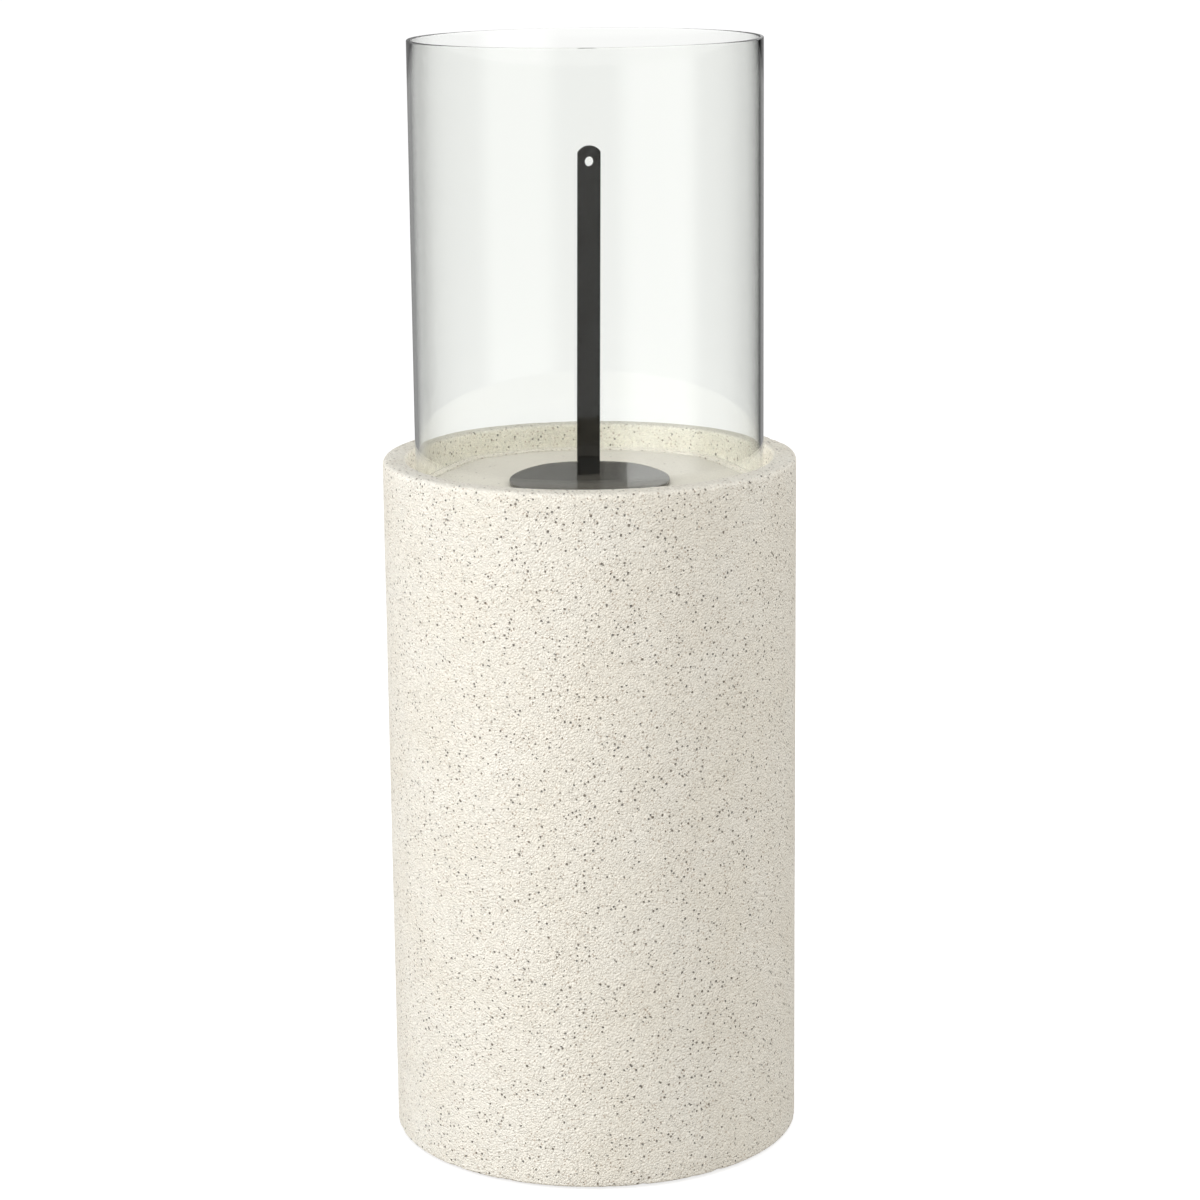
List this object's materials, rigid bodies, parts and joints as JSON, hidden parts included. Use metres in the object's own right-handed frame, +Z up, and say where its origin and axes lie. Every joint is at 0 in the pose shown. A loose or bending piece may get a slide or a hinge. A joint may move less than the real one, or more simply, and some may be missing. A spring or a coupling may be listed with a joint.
{
  "type": "garden fire lantern",
  "caption": "Round stone-effect pedestal lantern with a clear glass cylinder in its recessed top, a liquid-fuel burner and a lift-out snuffer lid.",
  "frame": {"origin": "centre of the base, on the floor", "axes": "+Z up along the lantern's axis, -Y to the front that faces the viewer, +X to the viewer's right"},
  "size_m": [0.26, 0.26, 0.6988],
  "materials": {
    "stone": "matt cast stone effect, cream with fine dark speckles",
    "plate": "smooth matt beige casting",
    "glass": "clear, fire-polished ends",
    "steel": "drawn stainless steel",
    "wool": "white ceramic fibre",
    "black_enamel": "semi-gloss black heat-resistant enamel on steel",
    "rubber": "matt black"
  },
  "bodies": {
    "pedestal": {"stone_body": "stone", "burner_plate": "plate", "foot_pad_1": "rubber", "foot_pad_2": "rubber", "foot_pad_3": "rubber", "foot_pad_4": "rubber"},
    "glass": {"glass_cylinder": "glass"},
    "burner": {"burner_cup": "steel", "ceramic_wool": "wool", "burner_screen": "steel"},
    "snuffer": {"snuffer_disk": "black_enamel", "snuffer_handle": "black_enamel"}
  },
  "joints": [
    {"name": "glass_lift", "type": "slide", "parent": "pedestal", "child": "glass", "axis": [0, 0, 1], "range_m": [0, 0.24]},
    {"name": "burner_lift", "type": "slide", "parent": "pedestal", "child": "burner", "axis": [0, 0, 1], "range_m": [0, 0.09]},
    {"name": "snuffer_lift", "type": "slide", "parent": "burner", "child": "snuffer", "axis": [0, 0, 1], "range_m": [0, 0.29]}
  ]
}
